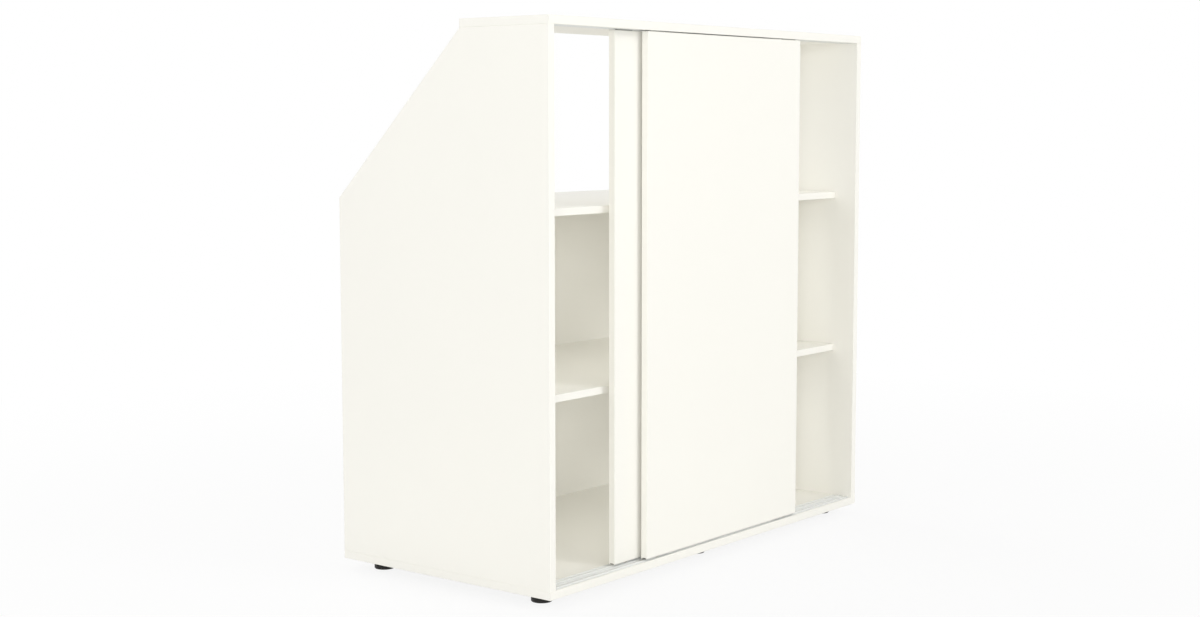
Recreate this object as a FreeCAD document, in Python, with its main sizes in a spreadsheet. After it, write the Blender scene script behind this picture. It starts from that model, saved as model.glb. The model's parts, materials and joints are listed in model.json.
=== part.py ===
import FreeCAD, Part
import math
import os
import re
import Sketcher

# A storage cabinet for under a sloping roof. The back is cut to the slope from the knee wall up,
# and two plain doors slide in front of two full-width shelves. Each door rolls on two grooved
# wheels on a double rail below and is guided by two glides in a double channel above. The
# channel is deep enough to lift the wheels off the rail and swing the door out.
# Millimetres, +Z up, front towards -Y. The origin is on the floor under the middle.

SIZES = {
    # carcass
    "overall_width": 1200,
    "overall_depth": 592,
    "body_height": 1168,
    "board": 18,
    "shelf_board": 16,
    "back_board": 4,
    "top_depth": 236,
    "knee_height": 797,
    "upper_shelf_level": 769,
    "lower_shelf_level": 387,
    "shelf_setback": 58,
    "rebate": 9,
    "back_play": 0.5,
    "edge_chamfer": 0.8,
    # doors; the rests are from the cabinet's left side to the door's left edge
    "door_board": 16,
    "door_setback": 3,
    "door_gap": 8,
    "door_overlap": 30,
    "door_top_gap": 2,
    "door_bottom_gap": 4.2,
    "front_door_rest": 328,
    "rear_door_rest": 246,
    # tracks
    "track_front": 3,
    "top_track_width": 46,
    "bottom_track_width": 47.7,
    "track_wall": 1.2,
    "track_floor": 2.6,
    "track_end_play": 0.5,
    "bottom_groove": 3,
    "top_groove": 10,
    "front_lip_rise": 0.4,
    "back_lip_rise": 1.1,
    "rail_rise": 2,
    "rail_width": 2.4,
    # roller carriages; the flanks of the wheel groove are at 45 degrees
    "plate_length": 84,
    "plate_width": 9.2,
    "plate_thickness": 2,
    "plate_end_gap": 1,
    "housing_length": 56,
    "housing_width": 8.8,
    "housing_height": 22,
    "pocket_play": 0.2,
    "wheel_diameter": 24,
    "wheel_width": 6,
    "wheel_land": 0.6,
    "running_gap": 0.3,
    "side_gap": 0.4,
    "slot_length": 27,
    "axle_diameter": 4,
    "axle_play": 0.05,
    # door guides
    "guide_inset": 40,
    "guide_length": 50,
    "guide_width": 7,
    "guide_reach": 6.5,
    "guide_web": 4,
    "guide_web_depth": 12,
    "guide_slot_play": 0.1,
    # feet
    "foot_diameter": 45,
    "foot_neck": 38,
    "foot_height": 22,
    "foot_rim": 9,
    "foot_shoulder": 2,
    "foot_chamfer": 1.5,
    "foot_side_inset": 55,
    "foot_end_inset": 69,
}

DERIVED = {
    "left": "-overall_width / 2",
    "front": "-overall_depth / 2",
    "inner_width": "overall_width - 2 * board",
    "side_height": "body_height - 2 * board",
    "side_level": "foot_height + board",
    "top_level": "foot_height + body_height - board",
    "side_knee": "knee_height - board",
    "shelf_depth": "overall_depth - back_board - shelf_setback",
    "shelf_top": "upper_shelf_level + shelf_board",
    "back_line": "overall_depth - back_board",
    "door_width": "(inner_width + door_overlap) / 2",
    "door_height": "side_height - door_top_gap - door_bottom_gap",
    "door_level": "side_level + door_bottom_gap",
    "front_door_line": "door_setback + door_board / 2",
    "rear_door_line": "front_door_line + door_board + door_gap",
    "front_rail": "front_door_line - track_front",
    "rear_rail": "rear_door_line - track_front",
    "track_length": "inner_width - 2 * track_end_play",
    "channel_width": "guide_width + 2 * running_gap",
    "rail_top": "bottom_groove + rail_rise",
    "wheel_radius": "wheel_diameter / 2",
    "wheel_root": "wheel_radius - wheel_width / 2 + wheel_land",
    "root_gap": "(rail_width / 2 + running_gap) * sqrt(2) - rail_width / 2",
    "wheel_centre": "side_level + rail_rise + root_gap + wheel_root",
    "axle_height": "wheel_centre - door_level",
    "slot_width": "wheel_width + 2 * side_gap",
    "slot_height": "axle_height + wheel_radius + 1",
    "carriage_inset": "plate_end_gap + plate_length / 2",
    "back_height": "shelf_top - board + rebate - 2 * back_play",
    "back_width": "inner_width + 2 * rebate - 2 * back_play",
}

DOORS = {"front": ("front_door_line", "front_door_rest"), "rear": ("rear_door_line", "rear_door_rest")}
SHELVES = {"upper_shelf": "upper_shelf_level", "lower_shelf": "lower_shelf_level"}
ENDS = {"left": "{inset}", "right": "door_width - ({inset})"}

doc = FreeCAD.newDocument("cabinet")
sheet = doc.addObject("Spreadsheet::Sheet", "Sizes")
for row, (size_name, size_value) in enumerate(SIZES.items(), start=1):
    sheet.set("A%d" % row, size_name)
    sheet.set("B%d" % row, str(size_value))
    sheet.setAlias("B%d" % row, size_name)
doc.recompute()
parts = []


# Formulas and placing

def formula(text):
    """Write a formula of size names with the sheet's cells in their place."""
    def cell(match):
        name = match.group(0)
        if name in DERIVED:
            return "(" + formula(DERIVED[name]) + ")"
        return "Sizes." + name if name in SIZES else name
    return re.sub("[A-Za-z_]+", cell, text)


def number(text):
    """The value of a formula now, for the first guess of a sketch point."""
    return float(doc.Sizes.evalExpression(formula(text)))


def bind(thing, name, text):
    thing.setExpression(name, formula(text))


def place(thing, x, y, z, axis=(0, 0, 1), angle=0):
    """Turn a piece about an axis through its own origin and put that origin at x, y, z."""
    turn = FreeCAD.Rotation(FreeCAD.Vector(*axis), angle)
    thing.Placement = FreeCAD.Placement(FreeCAD.Vector(), turn)
    for direction, text in zip("xyz", (x, y, z)):
        bind(thing, "Placement.Base." + direction, text)


# Sketches

def new_body(label):
    body = doc.addObject("PartDesign::Body", label)
    body.Label = label
    return body


def new_sketch(body, plane, offset="0"):
    """A sketch parallel to one of the body's own origin planes."""
    sketch = body.newObject("Sketcher::SketchObject", body.Name + "_sketch")
    origin_plane = next(item for item in body.Origin.OriginFeatures if item.Role == plane)
    sketch.AttachmentSupport = [(origin_plane, "")]
    sketch.MapMode = "FlatFace"
    bind(sketch, "AttachmentOffset.Base.z", offset)
    return sketch


def fix_point(sketch, geometry, position, x, y):
    """Hold a point of the sketch at x, y from the sketch's origin, or at only one of them."""
    for kind, axis, text in (("DistanceX", -2, x), ("DistanceY", -1, y)):
        if text is None:
            continue
        if text == "0":
            sketch.addConstraint(Sketcher.Constraint("PointOnObject", geometry, position, axis))
        else:
            rule = Sketcher.Constraint(kind, -1, 1, geometry, position, number(text))
            bind(sketch, "Constraints[%d]" % sketch.addConstraint(rule), text)


def draw_arc(sketch, start, end, centre, turn):
    """An arc about a centre, counter-clockwise for turn 1 and clockwise for -1; returns its ends in order."""
    first = math.atan2(start.y - centre.y, start.x - centre.x)
    last = math.atan2(end.y - centre.y, end.x - centre.x)
    sweep = turn * ((turn * (last - first)) % (2 * math.pi))
    radius = start.distanceToPoint(centre)
    way = FreeCAD.Vector(math.cos(first + sweep / 2), math.sin(first + sweep / 2), 0)
    geometry = sketch.addGeometry(Part.Arc(start, centre + way * radius, end))
    return (geometry, 1, 2) if turn > 0 else (geometry, 2, 1)


def draw_outline(sketch, points):
    """A closed outline. A point is x, y; one that an arc leads to adds the arc's centre x, y and its turn."""
    places = [FreeCAD.Vector(number(point[0]), number(point[1]), 0) for point in points]
    joins = []
    for index, point in enumerate(points):
        start = places[index - 1]
        end = places[index]
        if len(point) == 2:
            joins.append((sketch.addGeometry(Part.LineSegment(start, end)), 1, 2))
            continue
        centre = FreeCAD.Vector(number(point[2]), number(point[3]), 0)
        joins.append(draw_arc(sketch, start, end, centre, point[4]))
        fix_point(sketch, joins[-1][0], 3, point[2], point[3])
    for index, (geometry, first, last) in enumerate(joins):
        following, next_first, _ = joins[(index + 1) % len(joins)]
        sketch.addConstraint(Sketcher.Constraint("Coincident", geometry, last, following, next_first))
        x, y = points[index][:2]
        if len(points[index]) > 2:
            aside = abs(places[index].x - number(points[index][2]))
            level = abs(places[index].y - number(points[index][3])) < aside
            fix_point(sketch, geometry, last, None if level else x, y if level else None)
        else:
            fix_point(sketch, geometry, last, x, y)


def draw_rectangle(sketch, x_low, x_high, y_low, y_high):
    draw_outline(sketch, [(x_low, y_low), (x_high, y_low), (x_high, y_high), (x_low, y_high)])


def draw_circles(sketch, centres, diameter):
    for x, y in centres:
        centre = FreeCAD.Vector(number(x), number(y), 0)
        circle = Part.Circle(centre, FreeCAD.Vector(0, 0, 1), number(diameter) / 2)
        geometry = sketch.addGeometry(circle)
        fix_point(sketch, geometry, 3, x, y)
        rule = Sketcher.Constraint("Diameter", geometry, number(diameter))
        bind(sketch, "Constraints[%d]" % sketch.addConstraint(rule), diameter)


# Features

def pad(body, sketch, length, back=False):
    feature = body.newObject("PartDesign::Pad", body.Name + "_pad")
    feature.Profile = sketch
    bind(feature, "Length", length)
    feature.Reversed = back
    return feature


def pocket(body, sketch, depth, back=False):
    feature = body.newObject("PartDesign::Pocket", body.Name + "_pocket")
    feature.Profile = sketch
    bind(feature, "Length", depth)
    feature.Reversed = back
    return feature


def turned(body, sketch, axis):
    feature = body.newObject("PartDesign::Revolution", body.Name + "_revolution")
    feature.Profile = sketch
    feature.ReferenceAxis = (sketch, [axis])
    feature.Angle = 360
    return feature


def drill(body, plane, offset, centres, diameter, depth, back=False):
    sketch = new_sketch(body, plane, offset)
    draw_circles(sketch, centres, diameter)
    return pocket(body, sketch, depth, back)


def block(label, x_size, y_size, z_size):
    """A body padded up from a rectangle with one corner at its origin."""
    body = new_body(label)
    sketch = new_sketch(body, "XY_Plane")
    draw_rectangle(sketch, "0", x_size, "0", y_size)
    pad(body, sketch, z_size)
    return body


def break_edges(body, wanted):
    """Chamfer the edges whose middle point and direction pass the test wanted(middle, direction)."""
    doc.recompute()
    names = []
    for index, edge in enumerate(body.Tip.Shape.Edges, start=1):
        middle = edge.valueAt((edge.FirstParameter + edge.LastParameter) / 2)
        if wanted(middle, edge.tangentAt(edge.FirstParameter)):
            names.append("Edge%d" % index)
    base = body.Tip
    feature = body.newObject("PartDesign::Chamfer", body.Name + "_chamfer")
    feature.Base = (base, names)
    bind(feature, "Size", "edge_chamfer")


def finish(thing, x, y, z):
    """Place a piece and list it for writing."""
    place(thing, x, y, z)
    parts.append(thing)


def near(value, text):
    return abs(value - number(text)) < 0.01


# Carcass

def make_bottom_panel():
    body = block("bottom_panel", "overall_width", "overall_depth", "board")
    groove = new_sketch(body, "XY_Plane", "board")
    draw_rectangle(groove, "board", "overall_width - board",
                   "track_front", "track_front + bottom_track_width")
    pocket(body, groove, "bottom_groove")
    rebate = new_sketch(body, "XY_Plane", "board")
    draw_rectangle(rebate, "board - rebate", "overall_width - board + rebate", "back_line", "overall_depth")
    pocket(body, rebate, "rebate")
    break_edges(body, lambda middle, direction: near(middle.y, "0") and abs(direction.x) > 0.9
                or (near(middle.x, "0") or near(middle.x, "overall_width")) and abs(direction.y) > 0.9)
    finish(body, "left", "front", "foot_height")


def make_side_panel(name, x, inner_face, toward_outside):
    """A side panel. Its inner face is at inner_face along its own X, and cuts from there go outwards."""
    body = new_body(name + "_side_panel")
    outline = new_sketch(body, "YZ_Plane")
    draw_outline(outline, [("0", "0"), ("overall_depth", "0"), ("overall_depth", "side_knee"),
                           ("top_depth", "side_height"), ("0", "side_height")])
    pad(body, outline, "board")
    rebate = new_sketch(body, "YZ_Plane", inner_face)
    draw_rectangle(rebate, "back_line", "overall_depth", "0", "shelf_top - board")
    pocket(body, rebate, "rebate", toward_outside)
    break_edges(body, lambda middle, direction: near(middle.y, "0") and abs(direction.z) > 0.9
                or abs(direction.y * direction.z) > 0.1)
    finish(body, x, "front", "side_level")


def make_top_panel():
    body = block("top_panel", "overall_width", "top_depth", "board")
    groove = new_sketch(body, "XY_Plane")
    draw_rectangle(groove, "board", "overall_width - board",
                   "track_front", "track_front + top_track_width")
    pocket(body, groove, "top_groove", True)
    break_edges(body, lambda middle, direction: abs(direction.z) < 0.1 and
                (near(middle.y, "0") or near(middle.y, "top_depth")
                 or near(middle.x, "0") or near(middle.x, "overall_width")))
    finish(body, "left", "front", "top_level")


def make_shelf(name, level):
    body = block(name, "inner_width", "shelf_depth", "shelf_board")
    break_edges(body, lambda middle, direction: near(middle.y, "0") and abs(direction.x) > 0.9)
    finish(body, "left + board", "front + shelf_setback", "foot_height + " + level)


def make_back_panel():
    body = new_body("back_panel")
    outline = new_sketch(body, "XZ_Plane")
    draw_rectangle(outline, "0", "back_width", "0", "back_height")
    pad(body, outline, "back_board", True)
    finish(body, "left + board - rebate + back_play", "front + back_line", "side_level - rebate + back_play")


# Tracks, both extruded to the inside width

def rail_points(centre):
    """The outline of a round-topped rail, from its back foot to its front foot."""
    round_line = "rail_top - rail_width / 2"
    back = centre + " + rail_width / 2"
    front = centre + " - rail_width / 2"
    return [(back, "track_floor"), (back, round_line), (front, round_line, centre, round_line, 1),
            (front, "track_floor")]


def make_bottom_track():
    body = new_body("bottom_track")
    section = new_sketch(body, "YZ_Plane")
    inner_back = "bottom_track_width - track_wall"
    front_lip = "bottom_groove + front_lip_rise"
    back_lip = "bottom_groove + back_lip_rise"
    rib_back = "bottom_track_width - (rear_rail - front_rail)"
    rib_front = rib_back + " - track_wall"
    draw_outline(section, [
        ("0", "0"), ("bottom_track_width", "0"), ("bottom_track_width", back_lip),
        (inner_back, back_lip), (inner_back, "track_floor"), *rail_points("rear_rail"),
        (rib_back, "track_floor"), (rib_back, back_lip), (rib_front, back_lip), (rib_front, "track_floor"),
        *rail_points("front_rail"),
        ("track_wall", "track_floor"), ("track_wall", front_lip), ("0", front_lip)])
    pad(body, section, "track_length")
    finish(body, "left + board + track_end_play", "front + track_front", "side_level - bottom_groove")


def make_top_track():
    body = new_body("top_track")
    section = new_sketch(body, "YZ_Plane")
    roof = "top_groove - track_wall"
    points = [("0", "0")]
    for rail in ("front_rail", "rear_rail"):
        near_side = rail + " - channel_width / 2"
        far_side = rail + " + channel_width / 2"
        points += [(near_side, "0"), (near_side, roof), (far_side, roof), (far_side, "0")]
    points += [("top_track_width", "0"), ("top_track_width", "top_groove"), ("0", "top_groove")]
    draw_outline(section, points)
    pad(body, section, "track_length")
    finish(body, "left + board + track_end_play", "front + track_front", "top_level")


# Doors with their carriages and guides

def stadium(sketch, x, y, length, width):
    """A slot shape with round ends, centred at x, y."""
    half = "({0}) / 2".format(width)
    reach = "({0}) / 2 - ({1}) / 2".format(length, width)
    low_x = "{0} - ({1})".format(x, reach)
    high_x = "{0} + ({1})".format(x, reach)
    low_y = "{0} - {1}".format(y, half)
    high_y = "{0} + {1}".format(y, half)
    draw_outline(sketch, [(low_x, low_y, low_x, y, 1), (high_x, low_y), (high_x, high_y, high_x, y, 1),
                          (low_x, high_y)])


def make_door(name, line, rest):
    body = block(name + "_door_panel", "door_width", "door_board", "door_height")
    for end in ENDS.values():
        seat = new_sketch(body, "XY_Plane")
        half = "(plate_width / 2 + pocket_play)"
        seat_end = end.format(inset="plate_end_gap + plate_length + pocket_play")
        draw_rectangle(seat, end.format(inset="0"), seat_end,
                       "door_board / 2 - " + half, "door_board / 2 + " + half)
        pocket(body, seat, "plate_thickness", True)
        carriage = end.format(inset="carriage_inset")
        opening = new_sketch(body, "XY_Plane")
        stadium(opening, carriage, "door_board / 2", "housing_length + 2 * pocket_play",
                "housing_width + 2 * pocket_play")
        pocket(body, opening, "plate_thickness + housing_height + pocket_play", True)
        guide = end.format(inset="guide_inset")
        slot = new_sketch(body, "XY_Plane", "door_height")
        reach = "(guide_length / 2 + guide_slot_play)"
        half = "(guide_web / 2 + guide_slot_play)"
        draw_rectangle(slot, guide + " - " + reach, guide + " + " + reach,
                       "door_board / 2 - " + half, "door_board / 2 + " + half)
        pocket(body, slot, "guide_web_depth + guide_slot_play")
    break_edges(body, lambda middle, direction: (near(middle.y, "0") or near(middle.y, "door_board"))
                and (near(middle.x, "0") or near(middle.x, "door_width")
                     or near(middle.z, "0") or near(middle.z, "door_height")))
    finish(body, "left + " + rest, "front + {0} - door_board / 2".format(line), "door_level")


def make_carriage(label, x, y):
    """A roller housing: a screw plate let into the door's lower edge and a slotted block above it."""
    body = block(label, "plate_length", "plate_width", "plate_thickness")
    middle = ("plate_length / 2", "plate_width / 2")
    outline = new_sketch(body, "XY_Plane")
    stadium(outline, *middle, "housing_length", "housing_width")
    pad(body, outline, "plate_thickness + housing_height")
    slot = new_sketch(body, "XY_Plane")
    draw_rectangle(slot, middle[0] + " - slot_length / 2", middle[0] + " + slot_length / 2",
                   middle[1] + " - slot_width / 2", middle[1] + " + slot_width / 2")
    pocket(body, slot, "slot_height", True)
    drill(body, "XZ_Plane", "0", [(middle[0], "axle_height")], "axle_diameter + 2 * axle_play",
          "plate_width")
    finish(body, x + " - plate_length / 2", y + " - plate_width / 2", "door_level")


def make_wheel(label, x, y):
    """A wheel with a V-shaped groove that straddles the rail."""
    body = new_body(label)
    section = new_sketch(body, "YZ_Plane")
    bore = "axle_diameter / 2 + axle_play"
    draw_outline(section, [
        ("0", bore), ("wheel_width", bore), ("wheel_width", "wheel_radius"),
        ("wheel_width - wheel_land", "wheel_radius"), ("wheel_width / 2", "wheel_root"),
        ("wheel_land", "wheel_radius"), ("0", "wheel_radius")])
    turned(body, section, "H_Axis")
    finish(body, x, y + " - wheel_width / 2", "wheel_centre")


def make_axle():
    """A pattern for the axles: its middle is half its length along -Y from where it is placed."""
    axle = doc.addObject("Part::Cylinder", "axle_pattern")
    bind(axle, "Radius", "axle_diameter / 2")
    bind(axle, "Height", "housing_width")
    return axle


def make_guide(label, x, y):
    """A glide: its web is pushed into a slot in the door's top edge and its head runs in the channel."""
    body = new_body(label)
    section = new_sketch(body, "YZ_Plane")
    web = "guide_web / 2"
    head = "guide_width / 2"
    top = "guide_web_depth + door_top_gap + guide_reach"
    draw_outline(section, [("-" + web, "0"), (web, "0"), (web, "guide_web_depth"), (head, "guide_web_depth"),
                           (head, top), ("-" + head, top), ("-" + head, "guide_web_depth"),
                           ("-" + web, "guide_web_depth")])
    pad(body, section, "guide_length")
    finish(body, x + " - guide_length / 2", y, "door_level + door_height - guide_web_depth")


# Feet and groups

def make_foot():
    """A pattern for the feet: a wide rim on the floor and a neck under the panel."""
    body = new_body("foot_pattern")
    section = new_sketch(body, "XZ_Plane")
    rim = "foot_diameter / 2"
    neck = "foot_neck / 2"
    draw_outline(section, [
        ("0", "0"), (rim + " - foot_chamfer", "0"), (rim, "foot_chamfer"), (rim, "foot_rim"),
        (neck, "foot_rim + foot_shoulder"), (neck, "foot_height"), ("0", "foot_height")])
    turned(body, section, "V_Axis")
    return body


def make_group(label, pattern, spots, axis=(0, 0, 1), angle=0):
    """One node of many alike pieces."""
    links = []
    for index, spot in enumerate(spots, start=1):
        link = doc.addObject("App::Link", "{0}_{1}".format(label, index))
        link.LinkedObject = pattern
        place(link, *spot, axis, angle)
        links.append(link)
    group = doc.addObject("Part::Compound", label)
    group.Label = label
    group.Links = links
    parts.append(group)


make_bottom_panel()
make_side_panel("left", "left", "board", False)
make_side_panel("right", "-(left) - board", "0", True)
make_top_panel()
for shelf_name, shelf_level in SHELVES.items():
    make_shelf(shelf_name, shelf_level)
make_back_panel()
make_bottom_track()
make_top_track()
foot_columns = ["foot_side_inset", "overall_width / 2", "overall_width - foot_side_inset"]
foot_rows = ["foot_end_inset", "overall_depth - foot_end_inset"]
foot_spots = [("left + " + x, "front + " + y, "0") for y in foot_rows for x in foot_columns]
make_group("feet", make_foot(), foot_spots)

axle_pattern = make_axle()
for door_name, (door_line, door_rest) in DOORS.items():
    make_door(door_name, door_line, door_rest)
    centre_y = "front + " + door_line
    axle_spots = []
    for end_name, end_place in ENDS.items():
        piece = "{0}_door_{1}_".format(door_name, end_name)
        roller_x = "left + {0} + {1}".format(door_rest, end_place.format(inset="carriage_inset"))
        guide_x = "left + {0} + {1}".format(door_rest, end_place.format(inset="guide_inset"))
        make_carriage(piece + "carriage", roller_x, centre_y)
        make_wheel(piece + "wheel", roller_x, centre_y)
        make_guide(piece + "guide", guide_x, centre_y)
        axle_spots.append((roller_x, centre_y + " + housing_width / 2", "wheel_centre"))
    make_group(door_name + "_door_axles", axle_pattern, axle_spots, (1, 0, 0), 90)

doc.recompute()
for item in doc.Objects:
    if "Invalid" in item.State or "Error" in item.State:
        raise RuntimeError(item.Name + " did not build")
    if item.TypeId == "PartDesign::Pocket" and item.Shape.Volume > item.BaseFeature.Shape.Volume - 0.1:
        raise RuntimeError(item.Name + " cuts nothing")
for item in parts:
    if item.Shape.isNull() or not item.Shape.isValid():
        raise RuntimeError(item.Label + " has no valid shape")

os.makedirs("parts", exist_ok=True)
for item in parts:
    item.Shape.exportStep("parts/{0}.step".format(item.Label))
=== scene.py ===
import json
import math

import bpy
from mathutils import Matrix, Vector


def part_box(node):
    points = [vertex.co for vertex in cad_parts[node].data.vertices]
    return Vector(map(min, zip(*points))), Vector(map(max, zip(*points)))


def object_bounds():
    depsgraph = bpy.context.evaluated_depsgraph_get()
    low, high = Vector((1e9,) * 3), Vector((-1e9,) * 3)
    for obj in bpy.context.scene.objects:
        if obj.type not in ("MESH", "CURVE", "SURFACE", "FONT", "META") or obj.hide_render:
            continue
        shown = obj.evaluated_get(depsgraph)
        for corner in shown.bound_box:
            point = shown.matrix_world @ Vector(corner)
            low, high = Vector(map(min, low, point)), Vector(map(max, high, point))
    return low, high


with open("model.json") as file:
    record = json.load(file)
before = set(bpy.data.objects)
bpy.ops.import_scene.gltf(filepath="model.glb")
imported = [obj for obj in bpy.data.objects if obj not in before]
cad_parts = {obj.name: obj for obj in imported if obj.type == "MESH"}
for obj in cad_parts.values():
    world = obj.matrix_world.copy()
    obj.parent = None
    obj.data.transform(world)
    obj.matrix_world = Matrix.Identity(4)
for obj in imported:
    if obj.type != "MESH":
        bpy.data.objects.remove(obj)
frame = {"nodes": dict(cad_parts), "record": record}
cad_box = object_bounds()
nodes = frame["nodes"]
low, high = cad_box

# All lengths are in metres, angles in degrees, colours in linear RGB and lamp powers in watts.

# The camera of the photograph, fitted to the edges of the boards
IMAGE_WIDTH = 1200
FOCAL_PIXELS = 1823.4
CAMERA_PLACE = (-3.3557, -2.5975, 0.98475)
CAMERA_YAW = 51.7296
CAMERA_PITCH = 5.89722
CAMERA_ROLL = 0.02903
CAMERA_REACH = 200
SENSOR_MM = 36

# The boards' white, and how much of it is left where their tone drifts darkest and on glue
WHITE = (0.957, 0.943, 0.882)
BOARD_DRIFT = 0.993
GLUE_TONE = 0.55
# Half the width of a line of glue, and the thickness of the edge band in front of it
GLUE_LINE = 0.00015
BAND = 0.0012
# The sides on which each board has an edge band
BANDED = {"left_side_panel": "front back slope", "right_side_panel": "front back slope",
          "top_panel": "front back left right", "bottom_panel": "front back left right",
          "upper_shelf": "front", "lower_shelf": "front",
          "front_door_panel": "left right top bottom", "rear_door_panel": "left right top bottom"}

# The back: a white a little darker than the boards', the part of it where its tone drifts darkest,
# the height of its grain next to a dent's depth, and the depth of the rear skin that shows nails
BACK_WHITE = tuple(channel * 0.97 for channel in WHITE)
BACK_DRIFT = 0.985
BACK_GRAIN = 0.15
BACK_SKIN = 0.001
# The nails: the place of the outer columns and of the lowest row, the steps along a line of nails
# and from row to row, the radius of a head and of the dent around it
NAIL_COLUMN = 0.5865
NAIL_ROW = 0.0355
NAIL_STEP = 0.125
NAIL_ROW_STEP = 0.3817
NAIL_HEAD = 0.0024
NAIL_DENT = 1.6 * NAIL_HEAD
NAIL_COLOUR = (0.62, 0.61, 0.58)

# The darkest and the lightest tone of the metals
ALUMINIUM = ((0.84, 0.85, 0.83), (0.93, 0.94, 0.92))
STEEL = ((0.5, 0.5, 0.5), (0.66, 0.66, 0.65))

# The plastics: colour, roughness and specular level, and how much of the colour is left in the
# dark places of their grain
PLASTICS = {"foot_plastic": ((0.014, 0.013, 0.012), 0.45, 0.3),
            "carriage_plastic": ((0.025, 0.024, 0.023), 0.45, 0.5),
            "guide_plastic": ((0.5, 0.5, 0.47), 0.45, 0.5),
            "wheel_nylon": ((0.75, 0.73, 0.66), 0.35, 0.5)}
PLASTIC_GRAIN = 0.85

# The floor, which turns into the backdrop's white between two distances from the middle
FLOOR_COLOUR = (0.86, 0.86, 0.85)
FLOOR_REACH = 60
FLOOR_GAP = 0.0005
FADE_START = 0.8
FADE_END = 3
# The share of the backdrop's white near the object: the rest shows its shadow
NEAR_WHITE = 0.88

# The strength of the even light, and the lamps: name, place, target, power, width and height. The
# last four light the compartments.
AMBIENT = 0.57
LAMPS = [("key", (1.0, -7.6, 5.1), (0, 0, 0.6), 191, 2.4, 2.4),
         ("camera_side", (-7.0, -5.4, 1.3), (0, 0, 0.6), 206, 2.6, 2.0),
         ("left", (-3.4, 0.8, 3.4), (0, 0, 0.6), 22, 2.0, 2.0),
         ("back_high", (0.6, 3.6, 3.2), (0, 0, 0.8), 52, 2.0, 2.0),
         ("lower_down", (-0.08, -0.05, 0.385), (-0.08, -0.05, 0), 0.5, 1.0, 0.3),
         ("middle_down", (-0.08, -0.05, 0.765), (-0.08, -0.05, 0), 0.6, 1.0, 0.3),
         ("lower_fill", (0, -0.235, 0.22), (0, 0, 0.205), 0.22, 1.1, 0.26),
         ("middle_fill", (0, -0.235, 0.6), (0, 0, 0.585), 0.18, 1.1, 0.26)]

# The sockets of a Mix node that blends colours, and of one that blends shaders
MIX_FACTOR, MIX_COLOUR, MIX_OTHER, MIXED = 0, 6, 7, 2
BLEND_FACTOR, BLEND_FIRST, BLEND_SECOND = 0, 1, 2


def make_camera():
    data = bpy.data.cameras.new("camera")
    data.sensor_fit = "HORIZONTAL"
    data.sensor_width = SENSOR_MM
    data.lens = FOCAL_PIXELS / IMAGE_WIDTH * SENSOR_MM
    data.clip_end = CAMERA_REACH
    camera = bpy.data.objects.new("camera", data)
    turn = (Matrix.Rotation(-math.radians(CAMERA_YAW), 4, "Z")
            @ Matrix.Rotation(math.radians(90 - CAMERA_PITCH), 4, "X")
            @ Matrix.Rotation(-math.radians(CAMERA_ROLL), 4, "Z"))
    camera.matrix_world = Matrix.Translation(CAMERA_PLACE) @ turn
    bpy.context.scene.collection.objects.link(camera)
    bpy.context.scene.camera = camera


# Nodes of the materials

SOCKETS = {"colour": "Base Color", "roughness": "Roughness", "metallic": "Metallic",
           "specular": "Specular IOR Level"}


def new_material(name, **values):
    """A material, its node tree and its shader, with values set on the shader's own sockets."""
    material = bpy.data.materials.new(name)
    material.use_nodes = True
    tree = material.node_tree
    shader = tree.nodes["Principled BSDF"]
    for socket, value in values.items():
        shader.inputs[SOCKETS[socket]].default_value = value
    return material, tree, shader


def link(tree, source, output, target, socket):
    tree.links.new(source.outputs[output], target.inputs[socket])


def add_noise(tree, scale, detail, stretch=(1, 1, 1)):
    """Noise in the object's own metres, stretched along its axes."""
    place = tree.nodes.new("ShaderNodeTexCoord")
    mapping = tree.nodes.new("ShaderNodeMapping")
    mapping.inputs["Scale"].default_value = stretch
    link(tree, place, "Object", mapping, "Vector")
    noise = tree.nodes.new("ShaderNodeTexNoise")
    noise.inputs["Scale"].default_value = scale
    noise.inputs["Detail"].default_value = detail
    link(tree, mapping, "Vector", noise, "Vector")
    return noise.outputs["Fac"]


def add_bump(tree, shader, height, strength, distance):
    bump = tree.nodes.new("ShaderNodeBump")
    bump.inputs["Strength"].default_value = strength
    bump.inputs["Distance"].default_value = distance
    tree.links.new(height, bump.inputs["Height"])
    link(tree, bump, "Normal", shader, "Normal")


def add_ramp(tree, source, dark, light, dark_at=0.3, light_at=0.7):
    """The colour between a dark and a light one that belongs to an output from 0 to 1."""
    ramp = tree.nodes.new("ShaderNodeValToRGB")
    first, last = ramp.color_ramp.elements
    first.position, first.color = dark_at, (*dark, 1)
    last.position, last.color = light_at, (*light, 1)
    tree.links.new(source, ramp.inputs["Fac"])
    return ramp.outputs["Color"]


def shade(colour, factor):
    return tuple(channel * factor for channel in colour)


def add_math(tree, operation, first, second=None):
    """A Math node on outputs or plain numbers; returns its output."""
    node = tree.nodes.new("ShaderNodeMath")
    node.operation = operation
    for socket, value in zip(node.inputs, (first, second)):
        if isinstance(value, bpy.types.NodeSocket):
            tree.links.new(value, socket)
        elif value is not None:
            socket.default_value = value
    return node.outputs["Value"]


def plane_distance(tree, normal, offset):
    """How far a point is from a plane, in the object's own metres."""
    place = tree.nodes.new("ShaderNodeTexCoord")
    along = tree.nodes.new("ShaderNodeVectorMath")
    along.operation = "DOT_PRODUCT"
    along.inputs[1].default_value = normal
    link(tree, place, "Object", along, 0)
    return add_math(tree, "ABSOLUTE", add_math(tree, "SUBTRACT", along.outputs["Value"], offset))


def spot_distance(tree, across, along):
    """How far a point is from a spot, from its two distances across and along a line of spots."""
    squares = [add_math(tree, "MULTIPLY", value, value) for value in (across, along)]
    return add_math(tree, "SQRT", add_math(tree, "ADD", *squares))


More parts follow.
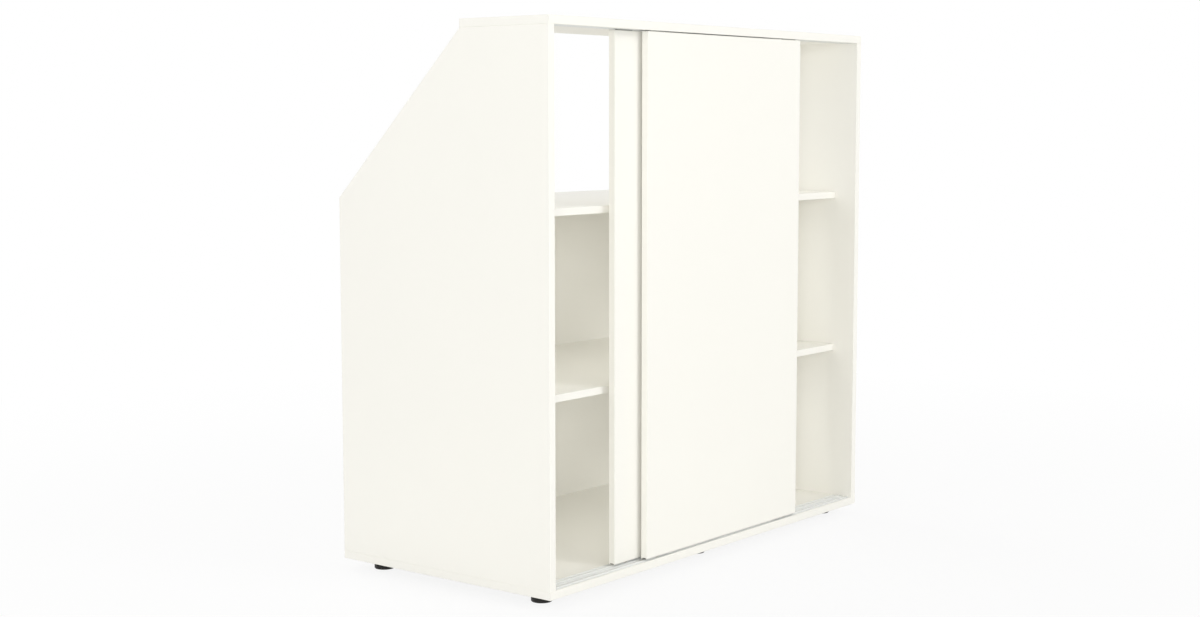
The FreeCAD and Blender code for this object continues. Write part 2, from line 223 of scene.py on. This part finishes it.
def add_fall(tree, distance, reach):
    """1 at distance 0, falling to 0 at the reach."""
    fall = tree.nodes.new("ShaderNodeMapRange")
    fall.inputs["From Max"].default_value = reach
    fall.inputs["To Min"].default_value = 1
    fall.inputs["To Max"].default_value = 0
    tree.links.new(distance, fall.inputs["Value"])
    return fall.outputs["Result"]


def add_mix(tree, factor, colour, other):
    """Mix an output's colour with a plain one."""
    mix = tree.nodes.new("ShaderNodeMix")
    mix.data_type = "RGBA"
    tree.links.new(factor, mix.inputs[MIX_FACTOR])
    tree.links.new(colour, mix.inputs[MIX_COLOUR])
    mix.inputs[MIX_OTHER].default_value = (*other, 1)
    return mix.outputs[MIXED]


# Materials

def make_board(name, planes):
    """Melamine-faced board: a fine pearl in the surface, a slight drift of tone, and hairlines of
    glue in the planes where its edge bands meet it."""
    material, tree, shader = new_material(name, roughness=0.42, specular=0.4)
    drift = add_noise(tree, scale=2.2, detail=3)
    tone = add_ramp(tree, drift, shade(WHITE, BOARD_DRIFT), WHITE)
    distance = plane_distance(tree, *planes[0])
    for plane in planes[1:]:
        distance = add_math(tree, "MINIMUM", distance, plane_distance(tree, *plane))
    glue = add_fall(tree, distance, GLUE_LINE)
    surface = add_mix(tree, glue, tone, shade(WHITE, GLUE_TONE))
    tree.links.new(surface, shader.inputs["Base Color"])
    pearl = add_noise(tree, scale=1400, detail=3)
    add_bump(tree, shader, pearl, strength=0.12, distance=0.00012)
    return material


def make_back_board():
    """Thin lacquered fibreboard, nailed on all round and along the lower shelf from behind."""
    material, tree, shader = new_material("back_board", roughness=0.5, specular=0.4)
    drift = add_noise(tree, scale=2.6, detail=3)
    tone = add_ramp(tree, drift, shade(BACK_WHITE, BACK_DRIFT), BACK_WHITE)

    place = tree.nodes.new("ShaderNodeTexCoord")
    axes = tree.nodes.new("ShaderNodeSeparateXYZ")
    link(tree, place, "Object", axes, "Vector")
    x, y, z = (axes.outputs[axis] for axis in "XYZ")
    columns = add_math(tree, "SUBTRACT", add_math(tree, "ABSOLUTE", x), NAIL_COLUMN)
    upright = spot_distance(tree, columns, add_math(tree, "PINGPONG", z, NAIL_STEP / 2))
    rows = add_math(tree, "SUBTRACT", z, NAIL_ROW)
    rows = add_math(tree, "PINGPONG", rows, NAIL_ROW_STEP / 2)
    level = spot_distance(tree, add_math(tree, "PINGPONG", x, NAIL_STEP / 2), rows)
    distance = add_math(tree, "MINIMUM", upright, level)

    behind = add_math(tree, "GREATER_THAN", y, high.y - BACK_SKIN)
    head = add_math(tree, "LESS_THAN", distance, NAIL_HEAD)
    head = add_math(tree, "MULTIPLY", head, behind)
    surface = add_mix(tree, head, tone, NAIL_COLOUR)
    tree.links.new(surface, shader.inputs["Base Color"])
    tree.links.new(head, shader.inputs["Metallic"])

    grain = add_math(tree, "MULTIPLY", add_noise(tree, scale=900, detail=3), BACK_GRAIN)
    dent = add_math(tree, "MULTIPLY", add_fall(tree, distance, NAIL_DENT), behind)
    height = add_math(tree, "SUBTRACT", grain, dent)
    add_bump(tree, shader, height, strength=0.4, distance=0.0004)
    return material


def make_aluminium():
    """Satin anodised extrusion: fine lines along its length."""
    material, tree, shader = new_material("anodised_aluminium", roughness=0.35, metallic=0.1)
    lines = add_noise(tree, scale=900, detail=4, stretch=(0.004, 1, 1))
    tone = add_ramp(tree, lines, *ALUMINIUM, dark_at=0.25, light_at=0.75)
    tree.links.new(tone, shader.inputs["Base Color"])
    add_bump(tree, shader, lines, strength=0.25, distance=0.0001)
    return material


def make_plastic(name, colour, roughness, specular):
    """Moulded plastic with a fine spark-eroded grain."""
    material, tree, shader = new_material(name, roughness=roughness, specular=specular)
    grain = add_noise(tree, scale=2600, detail=2)
    tone = add_ramp(tree, grain, shade(colour, PLASTIC_GRAIN), colour)
    tree.links.new(tone, shader.inputs["Base Color"])
    add_bump(tree, shader, grain, strength=0.3, distance=0.00008)
    return material


def make_steel():
    """Bright drawn steel: fine lines."""
    material, tree, shader = new_material("bright_steel", roughness=0.3, metallic=1)
    lines = add_noise(tree, scale=1500, detail=3, stretch=(1, 1, 0.05))
    tone = add_ramp(tree, lines, *STEEL)
    tree.links.new(tone, shader.inputs["Base Color"])
    add_bump(tree, shader, lines, strength=0.15, distance=0.00005)
    return material


def band_planes(node):
    """The planes behind a board's edge bands, each as a normal and its distance from the origin."""
    least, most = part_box(node)
    sides = {"left": ((1, 0, 0), least[0] + BAND), "right": ((1, 0, 0), most[0] - BAND),
             "front": ((0, 1, 0), least[1] + BAND), "back": ((0, 1, 0), most[1] - BAND),
             "bottom": ((0, 0, 1), least[2] + BAND), "top": ((0, 0, 1), most[2] - BAND)}
    mounts = frame["record"]["mounts"]
    slope = next(mount for mount in mounts if mount["name"] == "roof_slope")
    sides["slope"] = (slope["axis"], Vector(slope["axis"]).dot(slope["pos_m"]) - BAND)
    return [sides[side] for side in BANDED[node].split()]


def dress_object():
    """Give each piece the material of its slot, and each banded board one of its own."""
    looks = {"back_board": make_back_board(), "track_aluminium": make_aluminium(),
             "axle_steel": make_steel()}
    for name, look in PLASTICS.items():
        looks[name] = make_plastic(name, *look)
    for entry in frame["record"]["subparts"]:
        name = entry["node"]
        if name in BANDED:
            material = make_board(name + "_board", band_planes(name))
        else:
            material = looks[entry["material_slot"]]
        nodes[name].data.materials.clear()
        nodes[name].data.materials.append(material)


# Floor, backdrop and light

def seen_ray(tree):
    """1 on a ray of the camera, and on one that a gloss or glass sends on."""
    path = tree.nodes.new("ShaderNodeLightPath")
    seen = add_math(tree, "MAXIMUM", path.outputs["Is Camera Ray"], path.outputs["Is Glossy Ray"])
    return add_math(tree, "MAXIMUM", seen, path.outputs["Is Transmission Ray"])


def blend_shaders(tree, factor, first, second, output):
    """Blend two shaders' outputs into the tree's output node."""
    mix = tree.nodes.new("ShaderNodeMixShader")
    tree.links.new(factor, mix.inputs[BLEND_FACTOR])
    tree.links.new(first, mix.inputs[BLEND_FIRST])
    tree.links.new(second, mix.inputs[BLEND_SECOND])
    link(tree, mix, "Shader", tree.nodes[output], "Surface")


def make_floor():
    """A pale floor that keeps the object's shadow and runs out into the white of the backdrop."""
    mesh = bpy.data.meshes.new("floor")
    corners = [(-1, -1), (1, -1), (1, 1), (-1, 1)]
    mesh.from_pydata([(x * FLOOR_REACH, y * FLOOR_REACH, 0) for x, y in corners], [], [(0, 1, 2, 3)])
    floor = bpy.data.objects.new("floor", mesh)
    floor.location.z = low.z - FLOOR_GAP
    bpy.context.scene.collection.objects.link(floor)
    material, tree, shader = new_material("floor_white", colour=(*FLOOR_COLOUR, 1), roughness=0.8,
                                          specular=0.1)
    glow = tree.nodes.new("ShaderNodeEmission")
    glow.inputs["Strength"].default_value = 1
    place = tree.nodes.new("ShaderNodeTexCoord")
    distance = tree.nodes.new("ShaderNodeVectorMath")
    distance.operation = "LENGTH"
    link(tree, place, "Object", distance, 0)
    fade = tree.nodes.new("ShaderNodeMapRange")
    fade.inputs["From Min"].default_value = FADE_START
    fade.inputs["From Max"].default_value = FADE_END
    fade.inputs["To Min"].default_value = NEAR_WHITE
    fade.inputs["To Max"].default_value = 1
    link(tree, distance, "Value", fade, "Value")
    white = add_math(tree, "MULTIPLY", seen_ray(tree), fade.outputs["Result"])
    blend_shaders(tree, white, shader.outputs["BSDF"], glow.outputs["Emission"],
                  "Material Output")
    mesh.materials.append(material)


def make_world():
    """White where the camera or a gloss looks past the object, and even ambient light elsewhere."""
    world = bpy.data.worlds.new("studio")
    world.use_nodes = True
    tree = world.node_tree
    ambient = tree.nodes["Background"]
    ambient.inputs["Color"].default_value = (1, 1, 1, 1)
    ambient.inputs["Strength"].default_value = AMBIENT
    backdrop = tree.nodes.new("ShaderNodeBackground")
    backdrop.inputs["Color"].default_value = (1, 1, 1, 1)
    blend_shaders(tree, seen_ray(tree), ambient.outputs["Background"],
                  backdrop.outputs["Background"], "World Output")
    bpy.context.scene.world = world


def make_lamp(name, place, target, power, width, height):
    data = bpy.data.lights.new(name, "AREA")
    data.shape = "RECTANGLE"
    data.size = width
    data.size_y = height
    data.energy = power
    lamp = bpy.data.objects.new(name, data)
    direction = Vector(target) - Vector(place)
    lamp.rotation_euler = direction.to_track_quat("-Z", "Y").to_euler()
    lamp.location = place
    lamp.visible_camera = False
    lamp.visible_glossy = False
    bpy.context.scene.collection.objects.link(lamp)


dress_object()
make_camera()
make_floor()
make_world()
for lamp in LAMPS:
    make_lamp(*lamp)

bpy.context.scene.view_settings.view_transform = "Standard"
